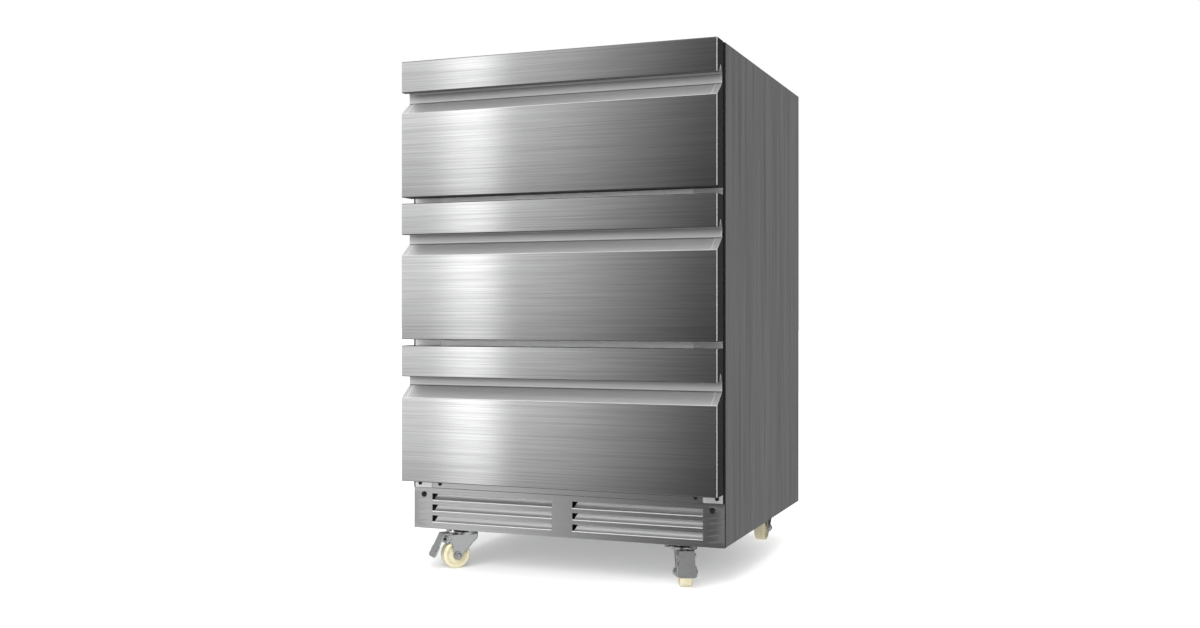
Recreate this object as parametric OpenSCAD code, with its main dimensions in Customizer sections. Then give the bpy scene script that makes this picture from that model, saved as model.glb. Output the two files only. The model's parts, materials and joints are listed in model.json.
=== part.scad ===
// Under counter fridge: three insulated drawers in a stainless cabinet on four swivel casters.
// Millimetres. Origin on the floor under the middle of the cabinet, +Z up, drawers open towards -Y.

/* [Cabinet] */
// Overall width
cabinet_w = 580; // [560:5:640]
// Overall height, floor to top
cabinet_h = 905; // [895:1:920]
// Overall depth with the drawers closed
cabinet_d = 612; // [600:2:640]
// Underside of the body above the floor
body_z = 72.5; // [72:0.5:76]
// Insulated wall thickness with its skins
wall_t = 54; // [52:1:58]
// Thickness of the outer sheets
skin_t = 1; // [0.8:0.1:1.2]
// Ceiling thickness with its skins
ceiling_t = 45; // [40:1:50]
// Height of the louvred kick panel
kick_h = 73; // [72:1:76]
// Height of the cavity floor above the room floor
cavity_z = 186; // [184:1:190]

/* [Drawers] */
// Lower edge of the lowest front above the floor
front_bottom = 161.5; // [158:0.5:165]
// Gap between two fronts
front_gap = 11; // [9:1:13]
// Thickness of a front
front_t = 36; // [34:1:40]
// Height of the band above the finger channel
band_h = 55; // [50:1:58]
// Thickness of the band at its lower edge
band_lip = 12; // [10:1:14]
// Depth of the finger channel behind the face
channel_depth = 28.5; // [26:0.5:30]
// Height of the upright back of the channel
channel_h = 16; // [14:1:18]
// Height of the sloping face below the channel
chamfer_h = 21; // [18:1:24]
// How far the finger pocket rises behind the band
pocket_rise = 15; // [10:1:18]
// Height of a drawer box
box_h = 158; // [140:2:160]
// Inside length of the two upper boxes
box_len = 430; // [410:10:430]
// Inside length of the lowest box, which stops before the machine compartment
low_box_len = 345; // [330:5:350]
// Sheet thickness of a drawer box
box_t = 1.2; // [1:0.1:1.5]
// Compressed thickness of the magnetic gasket
gasket_t = 8.7; // [7:0.1:10]
// Width of the gasket
gasket_w = 14; // [12:1:16]

/* [Slides] */
// Space for a slide between a box and the liner
slide_gap = 14; // [14:0.5:15]
// Height of the fixed member
slide_h = 45; // [44:1:46]
// Sheet thickness of the slide members
slide_t = 1.4; // [1.2:0.1:1.4]

/* [Casters] */
// Wheel diameter
wheel_d = 50; // [46:1:50]
// Wheel width
wheel_w = 21; // [18:1:22]
// Trail of the wheel behind the swivel axis
trail = 20; // [18:1:22]
// Swivel axes of the front casters from the middle
front_caster_x = 207; // [200:1:215]
// Swivel axes of the rear casters from the middle
rear_caster_x = 228; // [215:1:235]
// Swivel axes of the front casters behind the origin
front_caster_y = -219; // [-222:1:-210]
// Swivel axes of the rear casters behind the origin
rear_caster_y = 262; // [240:1:265]
// Axle diameter
axle_d = 8; // [7:0.5:8]
// Radial running clearance of wheels, pins and shafts
run_fit = 0.05; // [0.03:0.01:0.08]

/* [Cooling] */
// Compressor shell diameter
compressor_d = 130; // [120:1:130]
// Compressor shell height
compressor_h = 152; // [140:1:155]
// Condenser fan diameter
condenser_fan_d = 144; // [130:2:146]
// Evaporator fan diameter
evaporator_fan_d = 114; // [100:2:116]
// Fins on each coil
fin_count = 24; // [16:1:26]

/* [Hidden] */
$fn = 48;

// Small distances used throughout
eps = 0.5;          // how far joined features sink into each other
gap = 0.3;          // clearance between separate pieces that don't touch

// Cabinet levels
half_w = cabinet_w / 2;
face_y = -cabinet_d / 2;                 // plane of the drawer faces
rear_y = cabinet_d / 2;
front_back_y = face_y + front_t;         // back of the drawer fronts
frame_y = front_back_y + gasket_t;       // plane of the face frame
frame_t = 1.5;
breaker_y = frame_y + frame_t;
breaker_t = 5.8;
shell_y = breaker_y + breaker_t;         // front edge of the outer shell
inner_half_w = half_w - wall_t;
kick_top = body_z + kick_h;
cavity_top = cabinet_h - ceiling_t;
top_t = 1.2;
base_t = 1.2;
liner_t = 0.8;
flange_w = 14;                           // folded edges of the outer sheets

// Machine compartment at the lower rear, and the air duct in front of it
step_y = 110;                            // cavity face of the bulkhead
step_z = 330;                            // cavity face of the compartment's roof
machine_y = 150;
machine_top = 290;
duct_top = 140;
cavity_rear = rear_y - 50;
panel_rear_y = rear_y - 2;               // inside face of the rear panel

// Face frame
rail_h = 60;
rail_depth = 28;
sill_end = 37;                           // width of the corner pieces beside the sill rail

// Drawer fronts, 1 at the top
drawer_numbers = [1, 2, 3];
front_h = (cabinet_h - front_bottom - 2 * front_gap) / 3;
pitch = front_h + front_gap;
function front_z(n) = front_bottom + (3 - n) * pitch;
gasket_inset = 8;
box_lift = 30;                           // box floor above the front's lower edge
box_half_w = inner_half_w - slide_gap;
plug_half_w = box_half_w + 3;            // raised part of the inner panel
plug_t = 20;
box_y = front_back_y + plug_t;
hem = 8;
rail_lift = 45;                          // slide centre above the box floor
function box_floor(n) = front_z(n) + box_lift;
function rail_z(n) = box_floor(n) + rail_lift;
function len_of(n) = n == 3 ? low_box_len : box_len;
function rail_len(n) = len_of(n) - 30;
rail_y = box_y + 12;

// Casters, front left, front right, rear left, rear right
caster_at = [
    [-front_caster_x, front_caster_y], [front_caster_x, front_caster_y],
    [-rear_caster_x, rear_caster_y], [rear_caster_x, rear_caster_y]
];
caster_turn = [-132, -67, -102, -90];    // direction in which each wheel trails at rest
axle_z = wheel_d / 2;
leg_in = wheel_w / 2 + 1.5;              // inner face of a fork leg
leg_t = 2.5;
leg_out = leg_in + leg_t;
crown_z = 58;
crown_t = 3;
race_z = 66;
plate_t = 2.5;
plate_w = 60;
bolt_at = 22;
kingpin_r = 5;
pedal_u = 36;                            // pedal pivot behind the swivel axis
pedal_z = 55;
pedal_pin_r = 2.5;
pedal_slope = 64;                        // slope of the pedal's tread below horizontal

// Cooling unit
compressor_at = [120, 228];
compressor_z = body_z + base_t + 12.3;
condenser_x = -180;
condenser_z = 158;
coil_tube_r = 4;
evaporator_x = 130;
evaporator_fan_z = 778;
suction_at = [144, 238];
capillary_at = [160, 238];
pipe_stubs = [[-35, -23], [24, 10], [38, -20]];
drain_at = [20, 235];
grille_x = [-268, 183];
grille_z = [86, 290];

// An axis-aligned block between pairs of limits
module slab(x, y, z)
    translate([x[0], y[0], z[0]]) cube([x[1] - x[0], y[1] - y[0], z[1] - z[0]]);

// A (y, z) outline drawn out along X from x0
module along_x(x0, length)
    translate([x0, 0, 0]) rotate([90, 0, 90]) linear_extrude(length) children();

// A slot with round ends, cut along Y through a sheet whose rear face is at y
module round_slot(x, y, z, width, height)
    translate([x, y, z]) rotate([90, 0, 0]) linear_extrude(4) pill(width, height, height / 2 - 0.5);

// A rod along Y or X from a start point
module rod_y(at, length, r) translate(at) rotate([-90, 0, 0]) cylinder(h = length, r = r);
module rod_x(at, length, r) translate(at) rotate([0, 90, 0]) cylinder(h = length, r = r);

module both_sides() {
    children();
    mirror([1, 0, 0]) children();
}

// A rounded rectangle, centred
module pill(w, h, r) {
    square([w - 2 * r, h], center = true);
    square([w, h - 2 * r], center = true);
    for (x = [-1, 1], y = [-1, 1]) translate([x * (w / 2 - r), y * (h / 2 - r)]) circle(r);
}

// An outline moved inwards by t; the outline is listed anticlockwise
function inset(points, t) = [
    for (i = [0:len(points) - 1]) let (
        last = len(points) - 1,
        before = points[i == 0 ? last : i - 1],
        after = points[i == last ? 0 : i + 1],
        u = (points[i] - before) / norm(points[i] - before),
        v = (after - points[i]) / norm(after - points[i]),
        nu = [-u[1], u[0]],
        nv = [-v[1], v[0]]
    ) points[i] + (nu + nv) * t / (1 + nu * nv)
];

// ---- Cabinet shell ----

// Side sheet with a folded front edge
module side_panel(side) {
    color("silver") mirror([side < 0 ? 1 : 0, 0, 0]) {
        high = cabinet_h - top_t;
        slab([half_w - skin_t, half_w], [shell_y, rear_y], [body_z, high]);
        slab([half_w - flange_w, half_w], [shell_y, shell_y + skin_t], [body_z + base_t, high]);
    }
}

module left_side_panel() side_panel(-1);

module right_side_panel() side_panel(1);

// Top sheet with a folded front edge between the side panels
module top_panel() {
    fold = half_w - flange_w - gap;
    low = cabinet_h - top_t;
    color("silver") {
        slab([-half_w, half_w], [shell_y, rear_y], [low, cabinet_h]);
        slab([-fold, fold], [shell_y, shell_y + top_t], [low - flange_w, low + eps]);
    }
}

// Rear sheet, open behind the machine compartment
module rear_panel() {
    edge = half_w - skin_t;
    lap = 10;
    y = [panel_rear_y - 1, rear_y];
    color("silver") difference() {
        slab([-edge, edge], [panel_rear_y, panel_rear_y + skin_t], [body_z + base_t, cabinet_h - top_t]);
        slab([grille_x[0] + lap, grille_x[1] - lap], y, [grille_z[0] + lap, grille_z[1] - lap]);
        slab([inlet_x - 24, inlet_x + 24], y, [inlet_z - 14, inlet_z + 14]);
    }
}

// Slotted service cover over the rear opening
module rear_grille() {
    slot_pitch = 16;
    rows = 10;
    middle = (grille_x[0] + grille_x[1]) / 2;
    color("darkgray") difference() {
        slab(grille_x, [panel_rear_y + skin_t, rear_y], grille_z);
        for (side = [-1, 1], i = [0:rows - 1])
            round_slot(middle + side * 104, rear_y + 1, grille_z[0] + 30 + i * slot_pitch, 180, 7);
    }
}

// Floor sheet of the body
module base_pan() {
    edge = half_w - skin_t;
    lip = 20;
    color("gray") {
        slab([-edge, edge], [shell_y + skin_t, panel_rear_y], [body_z, body_z + base_t]);
        slab([-edge, edge], [panel_rear_y - base_t, panel_rear_y], [body_z, body_z + 12]);
        both_sides()
            slab([edge - base_t, edge], [shell_y + lip, panel_rear_y], [body_z, body_z + lip]);
    }
}

// ---- Insulated body ----

// Outline of the cavity from the side: tall in front, stepped over the machine compartment
cavity_outline = [
    [shell_y, cavity_z], [step_y, cavity_z], [step_y, step_z], [cavity_rear, step_z],
    [cavity_rear, cavity_top], [shell_y, cavity_top]
];

module pass_throughs(extra) {
    translate([suction_at[0], suction_at[1], machine_top - 5]) cylinder(h = 50, r = coil_tube_r + 2 + extra);
    translate([capillary_at[0], capillary_at[1], machine_top - 5]) cylinder(h = 50, r = 4 + extra);
    translate([drain_at[0], drain_at[1], machine_top - 5]) cylinder(h = 50, r = 7 + extra);
}

module inner_liner() {
    outer = inset(cavity_outline, -liner_t);
    color("gainsboro") difference() {
        along_x(-inner_half_w - liner_t, 2 * (inner_half_w + liner_t)) polygon(outer);
        along_x(-inner_half_w, 2 * inner_half_w) polygon(cavity_outline);
        slab([-half_w, half_w], [shell_y - 2, shell_y], [body_z, cabinet_h]);
        pass_throughs(0);
    }
}

// Foam blocks between the liner and the outer sheets
module foam_insulation() {
    x_in = inner_half_w + liner_t + gap;
    x_out = half_w - skin_t - gap;
    y_in = shell_y + top_t + gap;
    y_out = panel_rear_y - gap;
    z_out = cabinet_h - top_t - gap;
    roof = step_z - liner_t - gap;
    bulkhead = step_y + liner_t + gap;
    rear = cavity_rear + liner_t + gap;
    ceiling = cavity_top + liner_t + gap;
    inside = [-x_in + gap, x_in - gap];
    color("khaki") {
        both_sides() {
            slab([x_in, x_out], [y_in, y_out], [machine_top, z_out]);
            slab([x_in, x_out], [y_in, machine_y], [duct_top, machine_top - gap]);
        }
        slab(inside, [y_in, y_out], [ceiling, z_out]);
        slab(inside, [rear, y_out], [machine_top, ceiling - gap]);
        difference() {
            slab(inside, [bulkhead, rear - gap], [machine_top, roof]);
            pass_throughs(0);
        }
        slab(inside, [bulkhead, machine_y], [duct_top, machine_top - gap]);
        slab(inside, [y_in, bulkhead - gap], [duct_top, cavity_z - liner_t - gap]);
    }
}

// Upright members of the face frame, with narrower feet beside the sill rail
module frame_stiles() {
    color("silver") both_sides() {
        slab([inner_half_w, half_w], [frame_y, breaker_y], [cavity_z, cabinet_h]);
        slab([half_w - sill_end, half_w], [frame_y, breaker_y], [kick_top + gap, cavity_z + eps]);
    }
}

// Cross members: a channel behind each gap, and the head rail
module frame_rails() {
    color("silver") {
        for (n = [1, 2]) {
            middle = front_z(n) - front_gap / 2;
            low = middle - rail_h / 2;
            high = middle + rail_h / 2;
            difference() {
                slab([-inner_half_w, inner_half_w], [frame_y, frame_y + rail_depth], [low, high]);
                slab([-half_w, half_w], [breaker_y, rear_y], [low + frame_t, high - frame_t]);
            }
        }
        slab([-inner_half_w, inner_half_w], [frame_y, breaker_y], [cavity_top, cabinet_h]);
    }
}

module sill_rail() {
    edge = half_w - sill_end - gap;
    fold = inner_half_w - 1;
    top = cavity_z - gap;
    color("silver") {
        slab([-edge, edge], [frame_y, breaker_y], [kick_top + gap, top]);
        slab([-fold, fold], [frame_y, shell_y - gap], [top - frame_t, top]);
    }
}

// Black thermal break between the face frame and the shell
module breaker_strips() {
    leg = 12;
    low = cavity_z - frame_t - 2 * gap;
    y = [breaker_y - 1, shell_y + 1];
    color("black") difference() {
        slab([-half_w, half_w], [breaker_y, shell_y], [body_z, cabinet_h]);
        slab([-inner_half_w, inner_half_w], y, [low, cavity_top]);
        slab([leg - half_w, half_w - leg], y, [body_z - 1, kick_top]);
    }
}

// Kick panel: two columns of three slots, each with a fin that leans inwards
module louvre_panel() {
    slot_h = 12;
    slot_pitch = 19.7;
    slot_x = [19, 252.5];
    lean = 8;
    fin_t = 1.3;
    first = kick_top - 22;
    edge = half_w - 0.5;
    color("silver") {
        difference() {
            slab([-edge, edge], [frame_y, breaker_y - gap / 2], [body_z, kick_top]);
            both_sides() for (i = [0:2]) translate([0, 0, first - i * slot_pitch])
                slab(slot_x, [frame_y - 1, shell_y], [0, slot_h]);
        }
        slab([12.5 - half_w, half_w - 12.5], [frame_y, shell_y + eps], [body_z, body_z + skin_t]);
        both_sides() for (i = [0:2]) translate([0, frame_y, first - i * slot_pitch])
            along_x(slot_x[0], slot_x[1] - slot_x[0])
                polygon([[0, -eps], [fin_t, -eps], [lean + fin_t, slot_h], [lean, slot_h]]);
    }
}

// Pan head screw whose head stands out of a front face at y
module front_screw(x, y, z, r, head) {
    translate([x, y, z]) rotate([90, 0, 0]) {
        cylinder(h = head * 0.5, r = r);
        translate([0, 0, head * 0.5]) cylinder(h = head * 0.5, r1 = r, r2 = r * 0.7);
    }
}

module panel_screws() {
    color("black") {
        for (x = [-269, 269]) front_screw(x, frame_y, kick_top - 12, 5, 2.4);
        for (x = [-277, -237, 240, 277]) front_screw(x, frame_y, front_bottom - 8, 3.6, 2);
    }
}

// ---- Drawer slides ----

// Channel section of a slide member on the right; w is measured from the box side
module channel(n, web, lips, height, shift) {
    low = rail_z(n) - height / 2;
    high = rail_z(n) + height / 2;
    y = [rail_y, rail_y + rail_len(n)];
    w = box_half_w;
    slab([w + web[0], w + web[1]], y, [low, high]);
    slab([w + lips[0], w + lips[1]], y, [low, low + slide_t]);
    slab([w + lips[0], w + lips[1]], y, [high - slide_t, high]);
}

module fixed_rails() {
    color("lightsteelblue") both_sides() for (n = drawer_numbers)
        channel(n, [slide_gap - slide_t, slide_gap], [2.4, slide_gap], slide_h);
}

module mid_rails(n) {
    web = slide_gap - slide_t - 1;
    color("lightsteelblue") both_sides()
        channel(n, [web - slide_t, web], [2.4, web], slide_h - 2 * slide_t - 5.2);
}

module drawer_1_mid_rails() mid_rails(1);

module drawer_2_mid_rails() mid_rails(2);

module drawer_3_mid_rails() mid_rails(3);

module runners(n) {
    color("lightsteelblue") both_sides()
        channel(n, [0, slide_t], [0, slide_gap - 2 * slide_t - 1.8], slide_h - 4 * slide_t - 11.4);
}

module drawer_1_runners() runners(1);

module drawer_2_runners() runners(2);

module drawer_3_runners() runners(3);

// ---- Drawers ----

// Outline of a front from the side: x is the depth behind the face, y the height above its lower edge
channel_top = front_h - band_h;
channel_low = channel_top - channel_h;
chamfer_low = channel_low - chamfer_h;
front_outline = [
    [0, 0], [front_t, 0], [front_t, front_h], [0, front_h],
    [0, channel_top], [band_lip, channel_top], [band_lip + 8, channel_top + pocket_rise],
    [channel_depth, channel_top], [channel_depth, channel_low], [0, chamfer_low]
];
core_outline = inset(front_outline, skin_t);

module in_front(n, x0, length) translate([0, face_y, front_z(n)]) along_x(x0, length) children();

// Folded stainless skin, closed at both ends and open at the back
module drawer_front(n) {
    inner_w = cabinet_w - 2 * skin_t;
    color("silver") difference() {
        in_front(n, -half_w, cabinet_w) polygon(front_outline);
        in_front(n, -inner_w / 2, inner_w) {
            polygon(core_outline);
            translate([front_t - 2 * skin_t, skin_t]) square([4 * skin_t, front_h - 2 * skin_t]);
        }
    }
}

module drawer_1_front() drawer_front(1);

module drawer_2_front() drawer_front(2);

module drawer_3_front() drawer_front(3);

// Foamed core with the moulded inner panel that plugs the frame opening
module drawer_core(n) {
    inner_w = cabinet_w - 2 * skin_t;
    color("white") {
        in_front(n, -inner_w / 2, inner_w) polygon(core_outline);
        in_front(n, -inner_w / 2, inner_w)
            translate([front_t - 2 * skin_t, skin_t]) square([2 * skin_t, front_h - 2 * skin_t]);
        slab([-plug_half_w, plug_half_w], [front_back_y - eps, box_y],
            [box_floor(n), box_floor(n) + box_h + 2]);
    }
}

module drawer_1_core() drawer_core(1);

module drawer_2_core() drawer_core(2);

module drawer_3_core() drawer_core(3);

// Magnetic gasket round the back of a front
module gasket(n) {
    low = front_z(n) + gasket_inset;
    high = front_z(n) + front_h - gasket_inset;
    edge = half_w - gasket_inset;
    inner = edge - gasket_w;
    color("dimgray") difference() {
        slab([-edge, edge], [front_back_y, frame_y], [low, high]);
        slab([-inner, inner], [front_back_y - 1, frame_y + 1], [low + gasket_w, high - gasket_w]);
    }
}

module drawer_1_gasket() gasket(1);

module drawer_2_gasket() gasket(2);

module drawer_3_gasket() gasket(3);

// Sheet box, open on top, with hems turned inwards
module drawer_box(n) {
    low = box_floor(n);
    high = low + box_h;
    y = [box_y, box_y + len_of(n)];
    wall = box_half_w - box_t;
    rim = box_half_w - hem;
    color("gainsboro") difference() {
        slab([-box_half_w, box_half_w], y, [low, high]);
        slab([-wall, wall], [y[0] + box_t, y[1] - box_t], [low + box_t, high - box_t]);
        slab([-rim, rim], [y[0] + hem, y[1] - hem], [high - 2 * box_t, high + 1]);
    }
}

module drawer_1_box() drawer_box(1);

module drawer_2_box() drawer_box(2);

module drawer_3_box() drawer_box(3);

// ---- Casters ----

// Moves a caster from its own frame, where it trails along +X, to its place
module at_caster(i)
    translate([caster_at[i][0], caster_at[i][1], 0]) rotate([0, 0, caster_turn[i]]) children();

// Top plates with the upper race and the kingpin
module caster_plates() {
    plate_z = body_z - plate_t;
    color("gray") for (i = [0:3]) translate([caster_at[i][0], caster_at[i][1], 0]) difference() {
        union() {
            translate([0, 0, plate_z]) linear_extrude(plate_t) pill(plate_w, plate_w, 6);
            translate([0, 0, race_z]) cylinder(h = plate_z - race_z + eps, r = 20);
            translate([0, 0, crown_z - 4.7]) cylinder(h = race_z - crown_z + 5.5, r = kingpin_r);
            translate([0, 0, crown_z - 5]) cylinder(h = 4.7, r = 8);
        }
        for (x = [-1, 1], y = [-1, 1]) translate([x * bolt_at, y * bolt_at, plate_z - 1])
            cylinder(h = plate_t + 2, r = 3.3);
    }
}

// Hexagon bolts that hold the plates, and the rivets under the base
module caster_bolts() {
    head_z = body_z - plate_t - 4.1;
    rivet_h = 2.6;
    color("lightgray") {
        for (i = [0:3], x = [-1, 1], y = [-1, 1])
            translate([caster_at[i][0] + x * bolt_at, caster_at[i][1] + y * bolt_at, 0]) {
                translate([0, 0, head_z]) cylinder(h = 4, r = 5.8, $fn = 6);
                translate([0, 0, head_z + 3]) cylinder(h = plate_t + 1, r = 3);
            }
        both_sides() for (at = [[150, -246], [262, -246], [275, -180], [275, 60]])
            translate([at[0], at[1], body_z - rivet_h]) {
                cylinder(h = rivet_h / 2, r1 = 3, r2 = 4.5);
                translate([0, 0, rivet_h / 2]) cylinder(h = rivet_h / 2, r = 4.5);
            }
    }
}

// Outline of a fork leg in its own plane: x along the trail, y up
module leg_outline(braked) {
    r = 9;
    top = crown_z + crown_t;
    back = braked ? pedal_u : trail + 4;
    difference() {
        union() {
            polygon([
                [-18, top], [-18, top - 6], [trail - r, axle_z - 1], [trail + r, axle_z - 1],
                [trail + r + 1, axle_z + 18], [back, top - 12], [back, top]
            ]);
            translate([trail, axle_z]) circle(r);
            if (braked) translate([pedal_u, pedal_z]) circle(top - pedal_z);
        }
        translate([trail, axle_z]) circle(axle_d / 2 + 0.1);
        if (braked) translate([pedal_u, pedal_z]) circle(pedal_pin_r + 0.1);
    }
}

// Bolt across the fork with its head and nut, along Y in the caster's frame
module cross_bolt(u, z, r, head_r, head_h) {
    reach = leg_out + 0.1;
    rod_y([u, -reach - head_h, z], 2 * (reach + head_h), r);
    for (side = [-1, 1]) translate([u, side * (reach + head_h / 2), z]) rotate([90, 0, 0])
        cylinder(h = head_h, r = head_r, center = true, $fn = 6);
}

// Stamped fork with its lower race and its axle bolt
module fork(i) {
    braked = i < 2;
    race_low = crown_z + crown_t - eps;
    color("lightgray") at_caster(i) {
        difference() {
            union() {
                translate([2, 0, crown_z]) linear_extrude(crown_t) pill(44, 2 * leg_out, 6);
                translate([0, 0, race_low]) cylinder(h = race_z - race_low - gap, r = 22);
                for (side = [-1, 1]) translate([0, side * (leg_in + leg_t / 2) + leg_t / 2, 0])
                    rotate([90, 0, 0]) linear_extrude(leg_t) leg_outline(braked);
            }
            translate([0, 0, crown_z - 1]) cylinder(h = race_z, r = kingpin_r + run_fit);
        }
        cross_bolt(trail, axle_z, axle_d / 2, 7, 4);
        if (braked) cross_bolt(pedal_u, pedal_z, pedal_pin_r, 4, 2);
    }
}

module front_left_fork() fork(0);

module front_right_fork() fork(1);

module rear_left_fork() fork(2);

module rear_right_fork() fork(3);

// Nylon wheel with a dished web and a hub
module wheel(i) {
    r = wheel_d / 2;
    half = wheel_w / 2;
    edge = 3.5;
    dish = 3;
    hub_r = 9;
    hub_half = leg_in - 0.5;
    bore_r = axle_d / 2 + run_fit;
    color("lemonchiffon") at_caster(i) translate([trail, 0, axle_z]) rotate([90, 0, 0]) rotate_extrude() {
        polygon([
            [bore_r, -hub_half], [hub_r, -hub_half], [hub_r + 1, dish - half], [r - 7, dish - half],
            [r - 6, -half], [r - edge, -half], [r - edge, half], [r - 6, half],
            [r - 7, half - dish], [hub_r + 1, half - dish], [hub_r, hub_half], [bore_r, hub_half]
        ]);
        translate([r - edge - eps, edge - half]) square([edge + eps, wheel_w - 2 * edge]);
        for (side = [-1, 1]) translate([r - edge, side * (half - edge)]) circle(edge);
    }
}

module front_left_wheel() wheel(0);

module front_right_wheel() wheel(1);

module rear_left_wheel() wheel(2);

module rear_right_wheel() wheel(3);

// Foot pedal: two ears on the pin, a brake shoe above the wheel and a sloping tread
module brake_pedal(i) {
    ear = leg_in - 0.5;
    ear_t = 2;
    plate = 2;
    top_u = 46;
    top_z = pedal_z + 7 + plate;
    tread_l = 45;
    upper_w = 27;
    pad = [22, 32, plate + 0.3];
    along = [cos(pedal_slope), -sin(pedal_slope)];
    inward = plate * [-sin(pedal_slope), -cos(pedal_slope)];
    bend = [top_u, top_z];
    end = bend + (tread_l - 4) * along;
    color("lightgray") at_caster(i) {
        difference() {
            union() {
                for (side = [-1, 1]) translate([0, side * (ear - ear_t / 2) + ear_t / 2, 0])
                    rotate([90, 0, 0]) linear_extrude(ear_t) {
                        translate([pedal_u, pedal_z]) circle(5.5);
                        translate([pedal_u - 5, pedal_z]) square([10, top_z - pedal_z - plate / 2]);
                        translate([pedal_u + 1, pedal_z - 9]) square([4, 9]);
                    }
                translate([0, upper_w / 2, 0]) rotate([90, 0, 0]) linear_extrude(upper_w) polygon([
                    [pedal_u - 6, top_z], [pedal_u - 6, top_z - plate],
                    [top_u - plate * tan(pedal_slope / 2), top_z - plate], end + inward, end, bend
                ]);
                slab([pedal_u + 1.5, pedal_u + 6], [1 - ear, ear - 1], [pedal_z - 8.7, pedal_z - 4]);
                translate([top_u, 0, top_z]) rotate([0, pedal_slope, 0])
                    translate([tread_l - pad[0] / 2, 0, 0.15 - pad[2]]) {
                        linear_extrude(pad[2]) pill(pad[0], pad[1], 6);
                        translate([-4, -9, pad[2] - eps]) cube([4, 18, 1.2 + eps]);
                    }
            }
            rod_y([pedal_u, -leg_out, pedal_z], 2 * leg_out, pedal_pin_r + run_fit);
        }
    }
}

module front_left_brake_pedal() brake_pedal(0);

module front_right_brake_pedal() brake_pedal(1);

// ---- Cooling unit ----

// Fins across X with two columns of tubes through them, joined by bends at the ends
module fin_coil(centre, half_len, depth, height, rows) {
    fin_t = 0.8;
    fin_pitch = 2 * half_len / (fin_count - 1);
    row_pitch = height / rows;
    column = depth / 4;
    stub = 6;
    bend_x = half_len + stub - 1;
    bend_r = coil_tube_r + 0.4;
    tube_l = 2 * (half_len + stub);
    translate(centre) {
        for (i = [0:fin_count - 1])
            translate([i * fin_pitch - half_len - fin_t / 2, -depth / 2, -height / 2])
                cube([fin_t, depth, height]);
        for (i = [0:rows - 1], side = [-1, 1])
            rod_x([-tube_l / 2, side * column, (i + 0.5) * row_pitch - height / 2], tube_l, coil_tube_r);
        for (i = [0:rows - 1])
            translate([-bend_x, 0, (i + 0.5) * row_pitch - height / 2]) rotate([0, 0, 90])
                rotate_extrude(angle = 180) translate([column, 0]) circle(bend_r);
        for (i = [0:rows - 2])
            translate([bend_x, (i % 2 == 0 ? -1 : 1) * column, (i + 1) * row_pitch - height / 2])
                rotate([90, -90, 0]) rotate_extrude(angle = 180)
                    translate([row_pitch / 2, 0]) circle(bend_r);
    }
}

evaporator_at = [0, 228, 632];
evaporator_h = 120;
evaporator_d = 40;

module evaporator_coil() {
    color("silver") fin_coil(evaporator_at, evaporator_x, evaporator_d, evaporator_h, 4);
}

// Sheet cover over the coil, with a fan opening above and intake slots below
module evaporator_cover() {
    edge = 168;
    z = [560, 850];
    y = 192;
    wall = 1;
    color("gainsboro") difference() {
        slab([-edge, edge], [y, cavity_rear], z);
        slab([wall - edge, edge - wall], [y + wall, cavity_rear + 1], [z[0] - 1, z[1] - wall]);
        rod_y([0, y - 1, evaporator_fan_z], 4, evaporator_fan_d / 2 + 3);
        for (i = [0:4]) round_slot(0, y + 2, z[0] + 20 + i * 18, 260, 8);
    }
}

// Axial fan: hub, pitched blades and the shaft that turns in the motor, along +Y from its front
module fan_rotor(d, blades, hub_r, depth, shaft_r, shaft_l) {
    pitch_angle = 32;
    rotate([-90, 0, 0]) {
        cylinder(h = depth, r = hub_r);
        translate([0, 0, depth - eps]) cylinder(h = shaft_l + eps, r = shaft_r);
        intersection() {
            cylinder(h = depth, r = d / 2);
            for (i = [0:blades - 1]) rotate([0, 0, i * 360 / blades]) translate([hub_r - 3, 0, depth / 2])
                rotate([pitch_angle, 0, 0]) translate([0, -depth, -0.8]) cube([d / 2, 2 * depth, 1.6]);
        }
    }
}

// Fan motor with a blind shaft bore, along +Y from its front
module fan_motor(r, length, shaft_r, shaft_l) {
    rotate([-90, 0, 0]) difference() {
        union() {
            cylinder(h = length, r = r);
            translate([0, 0, -2]) cylinder(h = 3, r = r * 0.45);
        }
        translate([0, 0, -3]) cylinder(h = shaft_l + 3.5, r = shaft_r + run_fit);
    }
}

evaporator_fan_y = 194;
evaporator_fan_depth = 14;
shaft_r = 3;

module evaporator_fan_blade() {
    color("dimgray") translate([0, evaporator_fan_y, evaporator_fan_z])
        fan_rotor(evaporator_fan_d, 5, 15, evaporator_fan_depth, shaft_r, 22);
}

module evaporator_fan_motor() {
    y = evaporator_fan_y + evaporator_fan_depth + 4;
    color("darkslategray") translate([0, 0, evaporator_fan_z]) {
        translate([0, y, 0]) fan_motor(22, cavity_rear - y - 5, shaft_r, 18);
        slab([-80, 80], [cavity_rear - 5.5, cavity_rear - 3.5], [-10, 10]);
        both_sides() slab([70, 80], [cavity_rear - 4, cavity_rear], [-10, 10]);
    }
}

// Hermetic shell on a foot plate, with pipe stubs and a terminal box
module compressor() {
    r = compressor_d / 2;
    h = compressor_h;
    color("darkslategray") translate([compressor_at[0], compressor_at[1], compressor_z]) {
        translate([0, 0, 2]) rotate_extrude() {
            difference() {
                translate([0, 25]) square([r, h - 50]);
                translate([r - 2, h * 0.46]) square([3, 3]);
            }
            intersection() {
                for (z = [25, h - 25]) translate([r - 25, z]) circle(25);
                square([r, h]);
            }
            translate([0, 1]) square([r - 25, h - 2]);
        }
        difference() {
            slab([-62, 62], [-48, 48], [0, 3]);
            for (x = [-1, 1], y = [-1, 1]) translate([x * 52, y * 38, -1]) cylinder(h = 5, r = 6.3);
        }
        slab([-r - 6, -r + 8], [-20, 20], [50, 95]);
        for (at = pipe_stubs) translate([at[0], at[1], h - 12]) cylinder(h = 24, r = 4.2);
    }
}

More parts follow.
